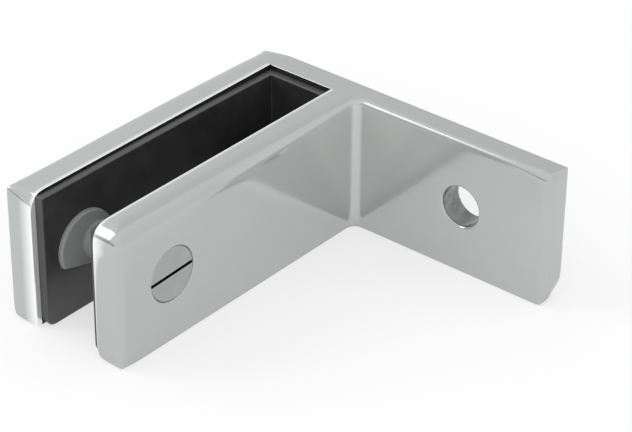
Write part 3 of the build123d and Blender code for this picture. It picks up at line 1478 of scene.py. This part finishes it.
    def top_radius(self, points: np.ndarray) -> np.ndarray:
        """Radius of the outer top edge beside each point.

        Args:
            points: points of the cage.

        Returns:
            The radii.
        """
        at, size = self.places, self.size
        x, y, _ = points.T
        leg_fade = 1 - smooth_step(0.0, size.end_reach, y - at.leg_end)
        tip_fade = 1 - smooth_step(0.0, size.end_reach, at.tip - x)
        along_leg = np.clip((y - at.leg_end) / (at.plate_front - at.leg_end), 0, 1)
        along_flange = smooth_step(0.0, size.root, x - at.near_outer)
        side = mix(mix(size.near_side, size.root_side, along_leg ** 2), size.flange_side, along_flange)
        toward_heel = np.clip(1 + y / size.heel_reach, 0, 1) ** 2
        far_side = mix(size.far_side, size.heel_side, toward_heel)
        side = np.where(x < at.far_inner + TOUCH, far_side, side)
        across_far = smooth_step(at.far_outer, at.far_inner, x)
        end = mix(size.far_end_edge, size.end_edge, across_far)
        radius = mix(side, end, np.maximum(leg_fade, tip_fade * size.tip_share))
        back = -y < y - at.plate_front
        back_fade = 1 - smooth_step(*size.heel_fade, x - at.far_outer)
        return np.where(back, mix(size.crisp / 2, radius, back_fade), radius)

    def round_edges(self, points: np.ndarray) -> np.ndarray:
        """Round the outer top edges, and the underside's edges at the free ends.

        Args:
            points: points with their low corners rounded.

        Returns:
            The moved points.
        """
        at, size = self.places, self.size
        moved, distance, outward, top_radius = self.plan_walls(points)
        height = points[:, 2]
        leg_fade = 1 - smooth_step(0.0, size.end_reach / 2, points[:, 1] - at.leg_end)
        low_radius = mix(size.crisp / 2, size.low_edge, leg_fade)
        top_edge = (at.top - height, top_radius, 1)
        bottom_edge = (height - at.bottom, low_radius, -1)
        for level, radius, upward in (top_edge, bottom_edge):
            new_side, new_level = round_pair(distance, level, radius, np.ones(len(points), dtype=bool))
            inward = new_side - distance
            moved[:, 0] -= outward[:, 0] * inward
            moved[:, 1] -= outward[:, 1] * inward
            moved[:, 2] -= upward * (new_level - level)
        return moved

    def marks(self) -> list[Mark]:
        """Places with another colour.

        Returns:
            The painted highlight along the edges at the mouth of the channel, painted shade on its metal
            walls, painted light round the hollow corner and painted shade in the wall hole's bore.
        """
        at, size = self.places, self.size
        # Painted highlight along the edges at the mouth of the channel.
        mouth = Mark(
            Zone.MOUTH_HIGHLIGHT,
            (
                ("Low wall", at.far_inner * MM),
                ("High wall", at.near_inner * MM),
                ("High squeeze", size.mouth_near_squeeze),
                ("Taper squeeze", size.mouth_low_squeeze),
                ("Taper top", size.mouth_taper[0] * MM),
                ("Taper low", size.mouth_taper[1] * MM),
                ("End", (at.leg_end + size.mouth_end_reach) * MM),
                ("End width", size.mouth_end_width * MM),
                ("Top width", size.mouth_top_width * MM),
                ("Back wall", at.plate_front * MM),
            ),
            size.mouth_highlight_colour,
        )
        # Painted shade on the metal walls of the channel.
        channel = Mark(
            Zone.CHANNEL_SHADE,
            (
                ("Middle", (at.far_inner + at.near_inner) / 2 * MM),
                ("Half width", ((at.near_inner - at.far_inner) / 2 + size.channel_reach) * MM),
                ("Front", at.liner_end * MM),
                ("Back wall", (at.plate_front + size.channel_reach) * MM),
            ),
            size.channel_shade_colour,
        )
        # Painted light on the walls round the hollow corner.
        nook = Mark(
            Zone.NOOK_LIGHT,
            (
                ("Corner X", at.near_outer * MM),
                ("Corner Y", at.plate_front * MM),
                ("Top", at.top * MM),
                ("Skin", size.nook_skin * MM),
                ("Depth", size.nook_depth * MM),
                ("Slope X", size.nook_slopes[0]),
                ("Slope Y", size.nook_slopes[1]),
                ("Blur", size.nook_blur * MM),
            ),
            size.nook_light_colour,
        )
        # Painted shade in the wall hole's bore, broken up by blotches.
        bore = Mark(
            Zone.BORE_SHADE,
            (
                ("Radius", (size.wall_hole + size.bore_reach) * MM),
                ("Depth", (-at.plate_front - size.crisp) * MM),
            ),
            size.bore_shade_colour,
        )
        return [mouth, channel, nook, bore]

    def build(self, plating: bpy.types.Material) -> list[bpy.types.Object]:
        """Make the casting.

        Args:
            plating: material of the casting.

        Returns:
            The casting as the only object.
        """
        holes = self.holes()
        cage = CellCage(self.grid_lines(), self.solid, holes)
        points, faces = cage.build()
        on_grid = np.array(sorted(cage.index.values()))
        shaped = points.copy()
        shaped[on_grid] = self.round_edges(self.round_low_corners(points[on_grid]))
        made = smooth_object("casting", shaped, faces)
        made.data.materials.append(plating)
        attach(made, BODY)
        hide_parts(Node.CASTING.value)
        return [made]


# The rubber liner

@dataclass(frozen=True)
class LinerSize:
    """Sizes of the liner in millimetres.

    Attributes:
        thickness: thickness of the strip.
        edge: distance of the support lines, which gives the softness of its edges.
        corner_lines: distances of the further grid lines from the free ends and the lower edge.
        middle_y: place of the line across the middle of the sides.
        low_corner: radius of the low corners of its free ends.
        near_drop: how much lower its side against the near leg ends at the top.
        base_sag: how much its top sags at the base.
        sag_reach: distance over which it sags.
        hole: radius of the screw holes.
        hole_square: half width of the cells round a screw hole.
    """

    thickness: float = 1.6
    edge: float = 0.3
    corner_lines: tuple[float, ...] = (0.8, 1.5, 2.5)
    middle_y: float = -25.0
    low_corner: float = 1.5
    near_drop: float = 1.1
    base_sag: float = 0.35
    sag_reach: float = 8.0
    hole: float = 2.75
    hole_square: float = 4.2


class Liner:
    """One U-shaped rubber strip over the three walls of the channel.

    Args:
        places: main places of the bracket.
        size: sizes of the strip.
    """

    def __init__(self, places: Places, size: LinerSize) -> None:
        """Keep the places and sizes."""
        self.places = places
        self.size = size

    def solid(self, x: float, y: float, z: float) -> bool:
        """Tell whether a place is inside the strip.

        Args:
            x: place along X.
            y: place along Y.
            z: place along Z.

        Returns:
            True inside it.
        """
        at, size = self.places, self.size
        inner_low = at.far_inner + size.thickness
        inner_high = at.near_inner - size.thickness
        on_side = y < at.plate_front - size.thickness
        above_near = x > inner_high and z > at.liner_top - size.near_drop
        return not (on_side and (inner_low < x < inner_high or above_near))

    def grid_lines(self) -> tuple[np.ndarray, np.ndarray, np.ndarray]:
        """Grid lines along X, Y and Z.

        Returns:
            The lines along each axis.
        """
        at, size = self.places, self.size
        edge = size.edge
        square = (-size.hole_square, 0.0, size.hole_square)
        along_x = merged_lines(
            [at.far_inner + step for step in (0.0, edge, size.thickness - edge, size.thickness)],
            [at.far_inner + size.thickness + edge, at.near_inner - size.thickness - edge],
            [at.near_inner - step for step in (0.0, edge, size.thickness - edge, size.thickness)],
        )
        along_y = merged_lines(
            [at.plate_front - step for step in (0.0, edge, size.thickness - edge, size.thickness)],
            [at.plate_front - size.thickness - edge, size.middle_y],
            [at.screw_y + step for step in square],
            [at.liner_end + step for step in (0.0, edge, *size.corner_lines)],
        )
        along_z = merged_lines(
            [at.liner_bottom + step for step in (0.0, edge, *size.corner_lines)],
            square,
            [at.liner_top - step for step in (0.0, edge, size.near_drop - edge, size.near_drop)],
            [at.liner_top - size.near_drop - edge],
        )
        return along_x, along_y, along_z

    def holes(self) -> list[RoundHole]:
        """The screw hole in each side of the strip.

        Returns:
            The two holes.
        """
        at, size = self.places, self.size
        edge = size.edge
        found = []
        for opening, inward in ((at.far_inner, 1), (at.near_inner, -1)):
            inner = opening + inward * size.thickness
            rings = (
                (size.hole + edge, opening),
                (size.hole, opening),
                (size.hole, opening + inward * edge),
                (size.hole, inner - inward * edge),
                (size.hole, inner),
                (size.hole + edge, inner),
            )
            found.append(RoundHole(Along.X, (at.screw_y, 0.0), opening, inner, size.hole_square, rings))
        return found

    def build(self, rubber: bpy.types.Material) -> list[bpy.types.Object]:
        """Make the liner.

        Args:
            rubber: material of the liner.

        Returns:
            The liner as the only object.
        """
        at, size = self.places, self.size
        cage = CellCage(self.grid_lines(), self.solid, self.holes())
        points, faces = cage.build()
        low = points[:, 2] - at.liner_bottom
        end = points[:, 1] - at.liner_end
        everywhere = np.ones(len(points), dtype=bool)
        radius = np.full(len(points), size.low_corner)
        new_end, new_low = round_pair(end, low, radius, everywhere)
        points[:, 1] = at.liner_end + new_end
        points[:, 2] = at.liner_bottom + new_low
        base = at.plate_front - size.thickness
        sag = size.base_sag * smooth_step(base - size.sag_reach, base, points[:, 1])
        points[:, 2] -= np.where(points[:, 2] > at.liner_top - 2 * size.edge, sag, 0.0)
        made = smooth_object("liner", points, faces)
        made.data.materials.append(rubber)
        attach(made, BODY)
        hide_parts(Node.LINER.value)
        return [made]


# The turned pieces

@dataclass(frozen=True)
class Ring:
    """One ring of a turned piece, in millimetres.

    Attributes:
        x: place along the axis.
        radius: radius of the ring.
        centre_y: place of its centre along Y.
        lowest: distance below its centre at which the ring is cut flat, as a negative number.
    """

    x: float
    radius: float
    centre_y: float
    lowest: float = -math.inf


class TurnedPiece:
    """A piece made of rings round an axis along X.

    Args:
        name: the object's name.
        rings: the rings in order along the surface, the last joined to the first.
        count: points in a ring.
        turn: turn of the rings and their flats about the axis, in degrees.
    """

    def __init__(self, name: str, rings: Sequence[Ring], count: int, turn: float) -> None:
        """Keep the rings and their turn."""
        self.name = name
        self.rings = rings
        self.count = count
        self.turn = math.radians(turn)

    def build(self) -> bpy.types.Object:
        """Make the piece as a smooth object.

        Returns:
            The new object.
        """
        stretch = 1 / spline_shrink(self.count)
        points = []
        for ring in self.rings:
            for turn in range(self.count):
                angle = 2 * math.pi * turn / self.count
                reach = ring.radius * stretch
                across = reach * math.cos(angle)
                height = max(reach * math.sin(angle), ring.lowest)
                turned_y = across * math.cos(self.turn) - height * math.sin(self.turn)
                turned_z = across * math.sin(self.turn) + height * math.cos(self.turn)
                points.append([ring.x, ring.centre_y + turned_y, turned_z])
        faces = []
        for one in range(len(self.rings)):
            other = (one + 1) % len(self.rings)
            for turn in range(self.count):
                onward = (turn + 1) % self.count
                faces.append([
                    one * self.count + turn,
                    one * self.count + onward,
                    other * self.count + onward,
                    other * self.count + turn,
                ])
        return smooth_object(self.name, np.array(points), faces)


@dataclass(frozen=True)
class BushSize:
    """Sizes of the bush in millimetres.

    Attributes:
        flange: thickness of the flange.
        flat: distance of the flange's flat from its centre.
        flat_turn: turn of the flat from the level, in degrees.
        sleeve: outer radius of the sleeve.
        bore: radius of the bore.
        edge: size of the broken edges.
        support: distance of the support rings.
        count: points in a ring.
    """

    flange: float = 0.9
    flat: float = 3.8
    flat_turn: float = -15.0
    sleeve: float = 3.3
    bore: float = 2.65
    edge: float = 0.2
    support: float = 0.15
    count: int = 64


class Bush:
    """Nylon bush: a sleeve on the screw, with an off-centre flange that is flat below.

    Args:
        places: main places of the bracket.
        size: sizes of the bush.
    """

    def __init__(self, places: Places, size: BushSize) -> None:
        """Keep the places and sizes."""
        self.places = places
        self.size = size

    def rings(self) -> list[Ring]:
        """Rings round the flange, along the sleeve, through the bore and back over the far face.

        Returns:
            The rings in order.
        """
        at, size = self.places, self.size
        low, high = at.bush_low, at.bush_high
        face = low + size.flange
        flange = (
            (low + size.support, at.bush_radius),
            (face - size.edge, at.bush_radius),
            (face, at.bush_radius - size.edge),
            (face, at.bush_radius - size.edge - size.support),
        )
        sleeve = (
            (face, size.sleeve + size.support),
            (face, size.sleeve),
            (face + size.support, size.sleeve),
            (high - size.edge - size.support, size.sleeve),
            (high - size.edge, size.sleeve),
            (high, size.sleeve - size.edge),
            (high, size.bore),
            (high - size.support, size.bore),
            (low + size.support, size.bore),
            (low, size.bore),
            (low, size.bore + size.support),
        )
        back = ((low, at.bush_radius - size.support), (low, at.bush_radius))
        inset = at.bush_radius - size.flat
        around = [Ring(x, radius, at.bush_y, inset - radius) for x, radius in flange]
        around += [Ring(x, radius, at.screw_y) for x, radius in sleeve]
        around += [Ring(x, radius, at.bush_y, inset - radius) for x, radius in back]
        return around

    def build(self, nylon: bpy.types.Material) -> list[bpy.types.Object]:
        """Make the bush.

        Args:
            nylon: material of the bush.

        Returns:
            The bush as the only object.
        """
        size = self.size
        made = TurnedPiece("bush", self.rings(), size.count, size.flat_turn).build()
        made.data.materials.append(nylon)
        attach(made, BODY)
        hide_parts(Node.BUSH.value)
        return [made]


@dataclass(frozen=True)
class ScrewSize:
    """Sizes of the screw's slot, in millimetres and degrees.

    Attributes:
        slot_width: width of the slot.
        slot_turn: turn of the slot from the level.
        slot_rim: depth below the head's face at which the slot's painted shade begins.
        slot_shade_colour: colour of the painted shade inside the slot, linear.
    """

    slot_width: float = 0.6
    slot_turn: float = 2.5
    # Painted shade inside the slot, from just below the head's face.
    slot_rim: float = 0.02
    slot_shade_colour: tuple[float, float, float] = (0.015, 0.015, 0.015)


class ClampScrew:
    """The slotted clamp screw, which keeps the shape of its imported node.

    Args:
        places: main places of the bracket.
        size: sizes of its slot.
    """

    def __init__(self, places: Places, size: ScrewSize) -> None:
        """Keep the places and sizes."""
        self.places = places
        self.size = size

    def marks(self) -> list[Mark]:
        """The painted shade inside the slot.

        Returns:
            The mark, as a list.
        """
        at, size = self.places, self.size
        # Painted shade inside the slot.
        values = (
            ("Face", (at.head_face - size.slot_rim) * MM),
            ("Centre", at.screw_y * MM),
            ("Half width", (size.slot_width / 2 + size.slot_rim) * MM),
            ("Slope", math.tan(math.radians(size.slot_turn))),
        )
        return [Mark(Zone.SLOT_SHADE, values, size.slot_shade_colour)]

    def dress(self, metal: bpy.types.Material) -> None:
        """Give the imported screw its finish."""
        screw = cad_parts[Node.SCREW.value]
        screw.data.materials.clear()
        screw.data.materials.append(metal)


# Studio: floor, light and camera

@dataclass(frozen=True)
class StudioSize:
    """Levels and places of the studio.

    Attributes:
        floor_reach: half width of the floor in metres.
        floor_gap: gap between the bracket and the floor in metres.
        floor_colour: colour of the floor, linear.
        floor_roughness: roughness of its paint.
        floor_white: share of plain white in the floor as the camera and the metal see it.
        levels: height share and brightness of the surroundings, from the horizon up.
        dim_side: direction in plan of the dim side of the surroundings.
        dim_reach: how wide that side is, as the cosine at which it starts and is full.
        dim_heights: height shares between which the dim side fades out.
        dim_level: brightness that is left there.
        back_side: direction in plan of the slightly dimmer back.
        back_reach: the cosines between which the back gets dimmer.
        back_level: brightness that is left there.
        tint: colour of the surroundings.
    """

    floor_reach: float = 3.0
    floor_gap: float = 0.00002
    floor_colour: tuple[float, float, float] = (0.82, 0.82, 0.82)
    floor_roughness: float = 0.9
    floor_white: float = 0.6
    levels: tuple[tuple[float, float], ...] = ((0.0, 0.92), (0.5, 0.93), (1.0, 1.02))
    dim_side: tuple[float, float, float] = (-0.63, -0.77, 0.0)
    dim_reach: tuple[float, float] = (0.55, 0.9)
    dim_heights: tuple[float, float] = (0.12, 0.3)
    dim_level: float = 0.25
    back_side: tuple[float, float, float] = (-0.3, 0.954, 0.0)
    back_reach: tuple[float, float] = (0.87, 0.97)
    back_level: float = 0.79
    tint: tuple[float, float, float] = (0.985, 1.0, 0.99)


@dataclass(frozen=True)
class SoftBox:
    """A soft rectangular lamp.

    Attributes:
        name: the lamp's name.
        place: its centre in metres.
        aim: the point that it faces, in metres.
        width: its width in metres.
        height: its height in metres.
        power: its power in watts.
        turn: its turn about the line to that point, in degrees.
        mirrored: whether it shows as a highlight in the metal.
    """

    name: str
    place: tuple[float, float, float]
    aim: tuple[float, float, float]
    width: float
    height: float
    power: float
    turn: float = 0.0
    mirrored: bool = True

    def build(self) -> bpy.types.Object:
        """Add the lamp to the scene.

        Returns:
            The lamp's object.
        """
        lamp = bpy.data.lights.new(self.name, "AREA")
        lamp.shape = "RECTANGLE"
        lamp.size = self.width
        lamp.size_y = self.height
        lamp.energy = self.power
        made = bpy.data.objects.new(self.name, lamp)
        made.location = self.place
        toward = Vector(self.aim) - Vector(self.place)
        facing = toward.to_track_quat("-Z", "Y")
        turned = facing @ Quaternion((0.0, 0.0, 1.0), math.radians(self.turn))
        made.rotation_euler = turned.to_euler()
        made.visible_glossy = self.mirrored
        bpy.context.scene.collection.objects.link(made)
        return made


class Studio:
    """Plain pale floor with soft light round it.

    Args:
        places: main places of the bracket.
        size: levels and places of the studio.
        boxes: soft lamps.
    """

    def __init__(self, places: Places, size: StudioSize, boxes: Sequence[SoftBox]) -> None:
        """Keep the sizes and lamps."""
        self.places = places
        self.size = size
        self.boxes = boxes

    def build_floor(self) -> None:
        """Lay the floor under the bracket."""
        reach = self.size.floor_reach
        level = self.places.bottom * MM - self.size.floor_gap
        mesh = bpy.data.meshes.new("floor")
        turns = ((-1, -1), (1, -1), (1, 1), (-1, 1))
        corners = [(along * reach, back * reach, level) for along, back in turns]
        mesh.from_pydata(corners, [], [(0, 1, 2, 3)])
        floor = bpy.data.objects.new("floor", mesh)
        bpy.context.scene.collection.objects.link(floor)
        floor.data.materials.append(self.floor_paint())

    def floor_paint(self) -> bpy.types.Material:
        """White paint that keeps the shadow and still looks white to the camera and in the metal.

        Returns:
            The paint.
        """
        paint = bpy.data.materials.new("floor_paint")
        paint.use_nodes = True
        paint.node_tree.nodes.clear()
        maker = GroupMaker(paint.node_tree)
        out = maker.node("ShaderNodeOutputMaterial")
        shader = maker.node("ShaderNodeBsdfPrincipled")
        shader.inputs["Base Color"].default_value = (*self.size.floor_colour, 1.0)
        shader.inputs["Roughness"].default_value = self.size.floor_roughness
        shader.inputs["Specular IOR Level"].default_value = 0.0
        white = maker.node("ShaderNodeEmission")
        white.inputs["Strength"].default_value = 1.0
        rays = maker.node("ShaderNodeLightPath")
        seen = maker.math("MAXIMUM", rays.outputs["Is Camera Ray"], rays.outputs["Is Glossy Ray"])
        seen = maker.math("MAXIMUM", seen, rays.outputs["Is Transmission Ray"])
        both = maker.node("ShaderNodeMixShader")
        maker.join(maker.math("MULTIPLY", seen, self.size.floor_white), both.inputs["Fac"])
        maker.join(shader.outputs["BSDF"], both.inputs[1])
        maker.join(white.outputs["Emission"], both.inputs[2])
        maker.join(both.outputs["Shader"], out.inputs["Surface"])
        return paint

    def build_world(self) -> None:
        """Make the surroundings: brighter overhead, dim low on one side and a little dimmer at the back."""
        world = bpy.data.worlds.new("studio")
        world.use_nodes = True
        bpy.context.scene.world = world
        world.node_tree.nodes.clear()
        maker = GroupMaker(world.node_tree)
        out = maker.node("ShaderNodeOutputWorld")
        light = maker.node("ShaderNodeBackground")
        maker.join(light.outputs["Background"], out.inputs["Surface"])
        direction = maker.node("ShaderNodeTexCoord").outputs["Generated"]
        up = maker.math("MAXIMUM", maker.parts(direction).outputs["Z"], 0.0)
        maker.join(self.sky_colour(maker, up), light.inputs["Color"])
        maker.join(self.sky_strength(maker, direction, up), light.inputs["Strength"])

    def sky_colour(self, maker: GroupMaker, up: bpy.types.NodeSocket) -> bpy.types.NodeSocket:
        """Colour of the surroundings by height.

        Args:
            maker: helper of the tree.
            up: how far the direction points up.

        Returns:
            The colour.
        """
        ramp = maker.node("ShaderNodeValToRGB")
        ramp.color_ramp.interpolation = "EASE"
        while len(ramp.color_ramp.elements) < len(self.size.levels):
            ramp.color_ramp.elements.new(0.5)
        for element, (place, level) in zip(ramp.color_ramp.elements, self.size.levels):
            element.position = place
            element.color = (*(level * part for part in self.size.tint), 1.0)
        maker.join(up, ramp.inputs["Fac"])
        return ramp.outputs["Color"]

    def sky_strength(
        self,
        maker: GroupMaker,
        direction: bpy.types.NodeSocket,
        up: bpy.types.NodeSocket,
    ) -> bpy.types.NodeSocket:
        """How much of that colour is left on the dim side and at the back.

        Args:
            maker: helper of the tree.
            direction: the direction looked in.
            up: how far it points up.

        Returns:
            The strength.
        """
        size = self.size
        flat = maker.node("ShaderNodeVectorMath", operation="MULTIPLY")
        flat.inputs[1].default_value = (1.0, 1.0, 0.0)
        maker.join(direction, flat.inputs[0])
        level_way = maker.node("ShaderNodeVectorMath", operation="NORMALIZE")
        maker.join(flat.outputs["Vector"], level_way.inputs[0])
        beside = self.toward(maker, level_way.outputs["Vector"], size.dim_side, size.dim_reach)
        below = self.ranged(maker, up, size.dim_heights, (1.0, 0.0))
        dimmed = maker.math("MULTIPLY", beside, below)
        front = maker.math("SUBTRACT", 1.0, maker.math("MULTIPLY", dimmed, 1 - size.dim_level))
        behind = self.toward(maker, level_way.outputs["Vector"], size.back_side, size.back_reach)
        back = maker.math("SUBTRACT", 1.0, maker.math("MULTIPLY", behind, 1 - size.back_level))
        return maker.math("MULTIPLY", front, back)

    @classmethod
    def toward(
        cls,
        maker: GroupMaker,
        way: bpy.types.NodeSocket,
        side: tuple[float, float, float],
        reach: tuple[float, float],
    ) -> bpy.types.NodeSocket:
        """Tell how far a direction points to one side.

        Args:
            maker: helper of the tree.
            way: the direction.
            side: the side to compare with.
            reach: cosines at which the answer starts and is full.

        Returns:
            A share from 0 to 1.
        """
        facing = maker.node("ShaderNodeVectorMath", operation="DOT_PRODUCT")
        facing.inputs[1].default_value = side
        maker.join(way, facing.inputs[0])
        return cls.ranged(maker, facing.outputs["Value"], reach, (0.0, 1.0))

    @staticmethod
    def ranged(
        maker: GroupMaker,
        value: bpy.types.NodeSocket,
        source: tuple[float, float],
        target: tuple[float, float],
    ) -> bpy.types.NodeSocket:
        """Map a value smoothly from one range to another.

        Args:
            maker: helper of the tree.
            value: the value to map.
            source: range that it comes from.
            target: range that it is mapped to.

        Returns:
            The mapped value.
        """
        made = maker.node("ShaderNodeMapRange", interpolation_type="SMOOTHSTEP")
        for key, number in zip(("From Min", "From Max", "To Min", "To Max"), (*source, *target)):
            made.inputs[key].default_value = number
        maker.join(value, made.inputs["Value"])
        return made.outputs["Result"]

    def build(self) -> None:
        """Add floor, surroundings and lamps."""
        self.build_floor()
        self.build_world()
        for box in self.boxes:
            box.build()


@dataclass(frozen=True)
class CameraView:
    """The photograph's point of view, found from the edges of the bracket in it.

    Attributes:
        azimuth: turn round the bracket in radians, 0 being straight in front of the wall.
        elevation: angle above the floor in radians.
        roll: turn about the line of sight in radians.
        aim: the point in the middle of the picture, in metres.
        distance: distance from that point in metres.
        focal_px: focal length in pixels of the photograph.
    """

    azimuth: float
    elevation: float
    roll: float
    aim: tuple[float, float, float]
    distance: float
    focal_px: float

    def build(self) -> None:
        """Add the camera and make it the scene's camera."""
        toward = Vector((
            math.sin(self.azimuth) * math.cos(self.elevation),
            -math.cos(self.azimuth) * math.cos(self.elevation),
            math.sin(self.elevation),
        ))
        level_right = Vector((math.cos(self.azimuth), math.sin(self.azimuth), 0.0))
        level_up = toward.cross(level_right)
        right = math.cos(self.roll) * level_right + math.sin(self.roll) * level_up
        up = math.cos(self.roll) * level_up - math.sin(self.roll) * level_right
        turned = Matrix((right, up, toward)).transposed().to_4x4()
        camera = bpy.data.cameras.new("camera")
        camera.sensor_fit = "HORIZONTAL"
        camera.sensor_width = SENSOR_WIDTH_MM
        camera.lens = SENSOR_WIDTH_MM * self.focal_px / IMAGE_WIDTH_PX
        camera.clip_start = NEAREST_SEEN
        made = bpy.data.objects.new("camera", camera)
        made.matrix_world = Matrix.Translation(Vector(self.aim) + toward * self.distance) @ turned
        bpy.context.scene.collection.objects.link(made)
        bpy.context.scene.camera = made


PHOTO_VIEW = CameraView(
    azimuth=0.68772,
    elevation=0.55242,
    roll=0.01047,
    aim=(-0.0343459, -0.0005965, -0.0173998),
    distance=0.4410975,
    focal_px=2465.2,
)

SOFT_BOXES = (
    SoftBox(
        name="front_left",
        place=(-0.819, -0.501, 0.616),
        aim=(0.0, -0.03, 0.0),
        width=0.56,
        height=0.91,
        power=4.2,
        turn=30.0,
    ),
    SoftBox(
        name="fill_right",
        place=(0.75, -0.85, 0.75),
        aim=(0.0, -0.03, 0.0),
        width=0.8,
        height=0.8,
        power=5.0,
        mirrored=False,
    ),
)


def main() -> None:
    """Build the bracket, its studio and the camera."""
    logging.basicConfig(level=logging.INFO, format="%(message)s")
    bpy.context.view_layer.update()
    places = Places.from_frame()
    effects = SharedEffects()
    casting = Casting(places, CastingSize())
    screw = ClampScrew(places, ScrewSize())
    pieces = []
    pieces += casting.build(PLATING.material(effects, casting.marks()))
    pieces += Liner(places, LinerSize()).build(RUBBER.material(effects))
    pieces += Bush(places, BushSize()).build(NYLON.material(effects))
    screw.dress(SCREW_METAL.material(effects, screw.marks()))
    for piece in pieces:
        LOG.info("built %s with %d cage faces", piece.name, len(piece.data.polygons))
    LOG.info("finished %s in its packed shape", Node.SCREW.value)
    Studio(places, StudioSize(), SOFT_BOXES).build()
    PHOTO_VIEW.build()
    bpy.context.scene.view_settings.view_transform = "Standard"


if __name__ == "__main__":
    main()
